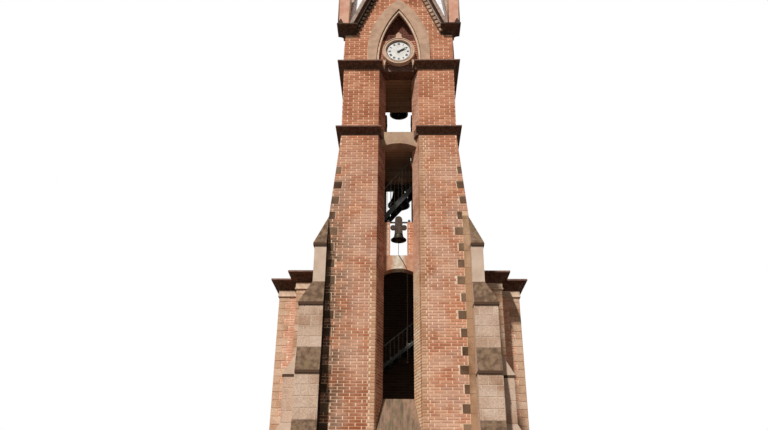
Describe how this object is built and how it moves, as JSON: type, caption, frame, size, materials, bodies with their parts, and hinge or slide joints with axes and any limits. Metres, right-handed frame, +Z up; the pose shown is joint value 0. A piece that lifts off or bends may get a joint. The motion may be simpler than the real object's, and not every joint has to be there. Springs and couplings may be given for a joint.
{
  "type": "bell tower",
  "caption": "Slender brick bell tower with a tall front slot, stepped stone buttresses, hanging bells, a clock under steep gables and a tall spire.",
  "frame": {"origin": "on the tower's axis at ground level", "axes": "+Z up, the front with the clock and the slot looks along -Y, +X to the viewer's right"},
  "size_m": [8.28, 7.06, 29],
  "materials": {
    "brick": "matte",
    "party_brick": "matte",
    "cut_stone": "matte",
    "dark_stone": "matte",
    "pink_stone": "matte",
    "sill_stone": "matte",
    "plaster": "matte",
    "floor_slab": "matte",
    "ceiling_boards": "matte",
    "spire_cladding": "matte",
    "dial_white": "satin",
    "black_iron": "satin",
    "steel_plate": "satin",
    "bronze": "satin",
    "old_timber": "matte",
    "rope": "matte"
  },
  "bodies": {
    "tower": {"ground_floor": "floor_slab", "front_piers": "brick", "flank_walls": "brick", "rear_piers": "brick", "door_infill": "brick", "stone_sill": "sill_stone", "inner_piers": "brick", "bell_ledge": "plaster", "rear_infill": "brick", "ringing_floor": "floor_slab", "slot_arches": "cut_stone", "buttresses": "cut_stone", "low_cornice": "dark_stone", "belfry_floor": "ceiling_boards", "belfry_piers": "brick", "belfry_walls": "brick", "clock_floor": "ceiling_boards", "top_cornice": "dark_stone", "front_gable": "brick", "rear_gable": "brick", "side_gables": "brick", "gable_frames": "cut_stone", "gable_panels": "brick", "clock_ring": "cut_stone", "clock_dial": "dial_white", "kneelers": "dark_stone", "gable_copings": "dark_stone", "pinnacles": "pink_stone", "spire": "spire_cladding", "spire_finial": "cut_stone", "bearings": "black_iron", "bell_rope": "rope", "fixed_bells": "bronze", "bell_beams": "old_timber", "lower_flight": "black_iron", "upper_flight": "black_iron", "landings": "steel_plate", "nave_walls": "brick", "party_wall": "party_brick", "nave_roof": "floor_slab", "nave_cornice": "dark_stone"},
    "swinging_bell": {"low_bell": "bronze", "low_bell_yoke": "old_timber"},
    "minute_hand": {"minute_hand": "black_iron"},
    "hour_hand": {"hour_hand": "black_iron"}
  },
  "joints": [
    {"name": "bell_swing", "type": "hinge", "parent": "tower", "child": "swinging_bell", "pos_m": [0, -0.95, 9.82], "axis": [1, 0, 0], "range_deg": [-60, 60]},
    {"name": "minute_turn", "type": "hinge", "parent": "tower", "child": "minute_hand", "pos_m": [0, -1.755, 15.38], "axis": [0, 1, 0], "continuous": true},
    {"name": "hour_turn", "type": "hinge", "parent": "tower", "child": "hour_hand", "pos_m": [0, -1.755, 15.38], "axis": [0, 1, 0], "continuous": true}
  ],
  "couplings": [
    {"joint": "hour_turn", "follows": "minute_turn", "ratio": 0.083333}
  ]
}
